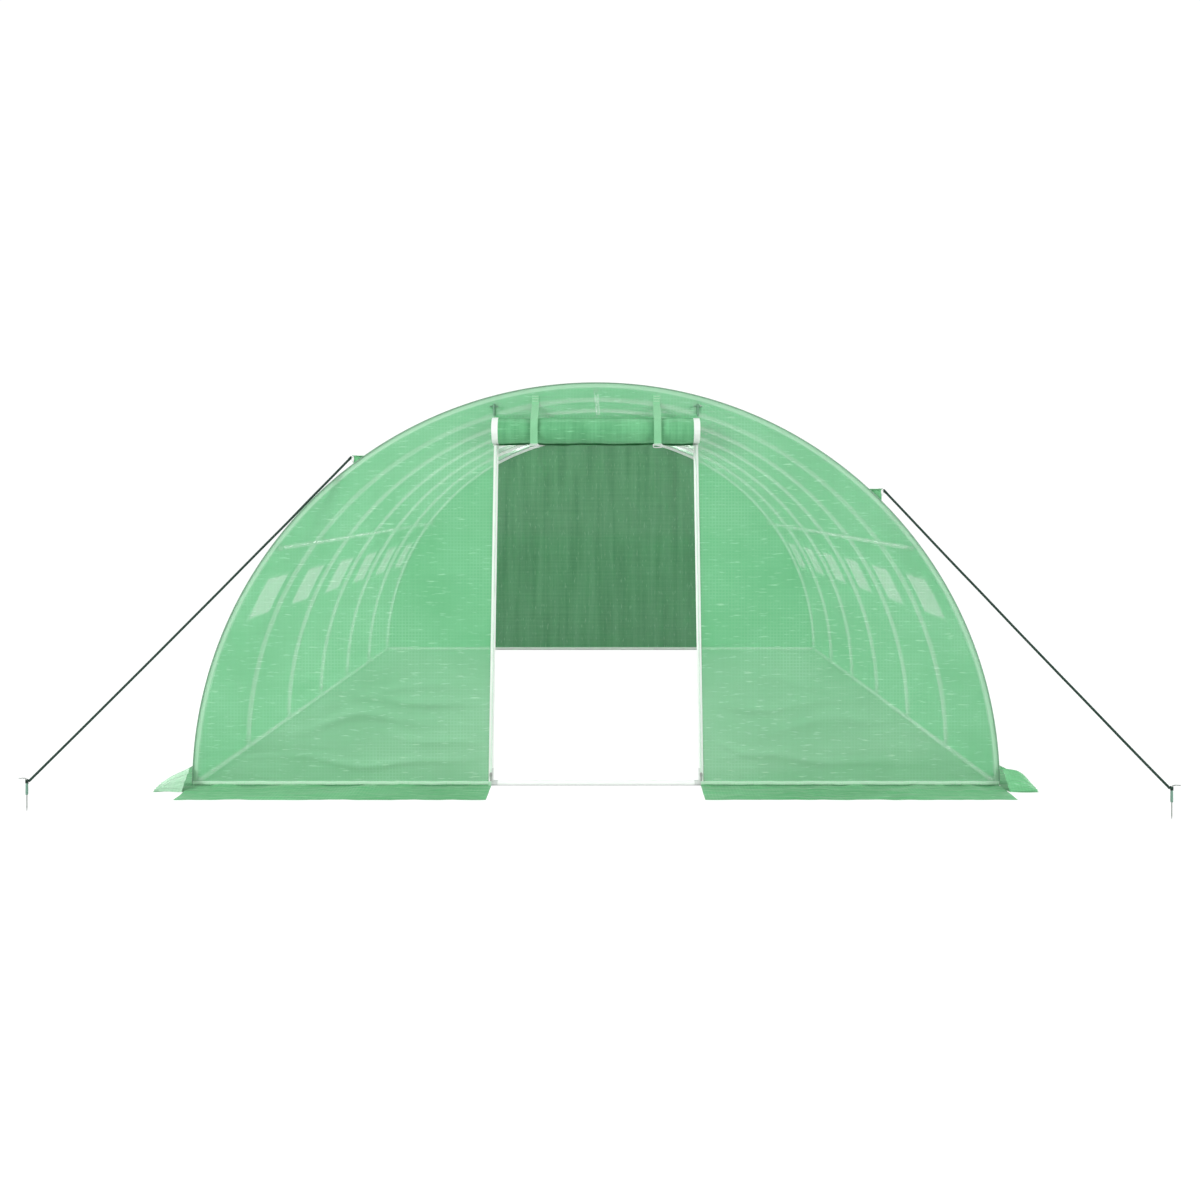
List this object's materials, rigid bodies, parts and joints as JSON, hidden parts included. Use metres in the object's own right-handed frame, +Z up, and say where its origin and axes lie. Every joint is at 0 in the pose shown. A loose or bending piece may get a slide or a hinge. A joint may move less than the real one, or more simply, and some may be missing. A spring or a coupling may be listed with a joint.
{
  "type": "tunnel greenhouse",
  "caption": "Walk-in half-round tunnel with a translucent woven film cover on steel hoops, a roll-up door, screened side windows with roll-down flaps, ground skirts and two guy ropes.",
  "frame": {"origin": "on the ground at the middle of the floor, on the line that the hoops' arcs are centred on", "axes": "+Y along the tunnel from the doorway to the rear wall, +X to the right for someone facing the doorway from outside, +Z up"},
  "size_m": [5.231, 7.0591, 2.0008],
  "materials": {
    "film": "satin woven polyethylene film, light green, translucent",
    "screen": "matte insect mesh",
    "white_tube": "gloss white powder coat on steel tube",
    "webbing": "matte woven strap",
    "zip_tape": "matte white zip tape",
    "rope": "matte twisted rope, dark green",
    "steel": "satin galvanised wire"
  },
  "bodies": {
    "root": {"hoop_1": "white_tube", "hoop_2": "white_tube", "hoop_3": "white_tube", "hoop_4": "white_tube", "hoop_5": "white_tube", "hoop_6": "white_tube", "hoop_7": "white_tube", "ground_rail_left": "white_tube", "ground_rail_right": "white_tube", "ground_rail_front": "white_tube", "ground_rail_rear": "white_tube", "door_post_left": "white_tube", "door_post_right": "white_tube", "ridge_purlin": "white_tube", "side_purlin_left": "white_tube", "side_purlin_right": "white_tube", "roof_cover": "film", "front_wall": "film", "rear_wall": "film", "front_skirt_left": "film", "front_skirt_right": "film", "rear_skirt": "film", "side_skirt_left": "film", "side_skirt_right": "film", "zip_tape_left": "zip_tape", "zip_tape_right": "zip_tape", "door_tie_left": "webbing", "door_tie_right": "webbing", "window_screen_left_1": "screen", "window_screen_left_2": "screen", "window_screen_left_3": "screen", "window_screen_left_4": "screen", "window_screen_left_5": "screen", "window_screen_left_6": "screen", "window_screen_right_1": "screen", "window_screen_right_2": "screen", "window_screen_right_3": "screen", "window_screen_right_4": "screen", "window_screen_right_5": "screen", "window_screen_right_6": "screen", "guy_rope_left": "rope", "guy_rope_right": "rope", "rope_tab_left": "webbing", "rope_tab_right": "webbing", "peg_left": "steel", "peg_right": "steel"},
    "door_roll": {"door_roll": "film"},
    "window_flap_left_1": {"window_flap_left_1": "film"},
    "window_flap_left_2": {"window_flap_left_2": "film"},
    "window_flap_left_3": {"window_flap_left_3": "film"},
    "window_flap_left_4": {"window_flap_left_4": "film"},
    "window_flap_left_5": {"window_flap_left_5": "film"},
    "window_flap_left_6": {"window_flap_left_6": "film"},
    "window_flap_right_1": {"window_flap_right_1": "film"},
    "window_flap_right_2": {"window_flap_right_2": "film"},
    "window_flap_right_3": {"window_flap_right_3": "film"},
    "window_flap_right_4": {"window_flap_right_4": "film"},
    "window_flap_right_5": {"window_flap_right_5": "film"},
    "window_flap_right_6": {"window_flap_right_6": "film"}
  },
  "joints": [
    {"name": "door_drop", "type": "slide", "parent": "root", "child": "door_roll", "axis": [0, 0, -1], "range_m": [0, 1.68]},
    {"name": "flap_left_1_drop", "type": "hinge", "parent": "root", "child": "window_flap_left_1", "pos_m": [0, 0, 0], "axis": [0, -1, 0], "range_deg": [0, 9]},
    {"name": "flap_left_2_drop", "type": "hinge", "parent": "root", "child": "window_flap_left_2", "pos_m": [0, 0, 0], "axis": [0, -1, 0], "range_deg": [0, 9]},
    {"name": "flap_left_3_drop", "type": "hinge", "parent": "root", "child": "window_flap_left_3", "pos_m": [0, 0, 0], "axis": [0, -1, 0], "range_deg": [0, 9]},
    {"name": "flap_left_4_drop", "type": "hinge", "parent": "root", "child": "window_flap_left_4", "pos_m": [0, 0, 0], "axis": [0, -1, 0], "range_deg": [0, 9]},
    {"name": "flap_left_5_drop", "type": "hinge", "parent": "root", "child": "window_flap_left_5", "pos_m": [0, 0, 0], "axis": [0, -1, 0], "range_deg": [0, 9]},
    {"name": "flap_left_6_drop", "type": "hinge", "parent": "root", "child": "window_flap_left_6", "pos_m": [0, 0, 0], "axis": [0, -1, 0], "range_deg": [0, 9]},
    {"name": "flap_right_1_drop", "type": "hinge", "parent": "root", "child": "window_flap_right_1", "pos_m": [0, 0, 0], "axis": [0, 1, 0], "range_deg": [0, 9]},
    {"name": "flap_right_2_drop", "type": "hinge", "parent": "root", "child": "window_flap_right_2", "pos_m": [0, 0, 0], "axis": [0, 1, 0], "range_deg": [0, 9]},
    {"name": "flap_right_3_drop", "type": "hinge", "parent": "root", "child": "window_flap_right_3", "pos_m": [0, 0, 0], "axis": [0, 1, 0], "range_deg": [0, 9]},
    {"name": "flap_right_4_drop", "type": "hinge", "parent": "root", "child": "window_flap_right_4", "pos_m": [0, 0, 0], "axis": [0, 1, 0], "range_deg": [0, 9]},
    {"name": "flap_right_5_drop", "type": "hinge", "parent": "root", "child": "window_flap_right_5", "pos_m": [0, 0, 0], "axis": [0, 1, 0], "range_deg": [0, 9]},
    {"name": "flap_right_6_drop", "type": "hinge", "parent": "root", "child": "window_flap_right_6", "pos_m": [0, 0, 0], "axis": [0, 1, 0], "range_deg": [0, 9]}
  ]
}
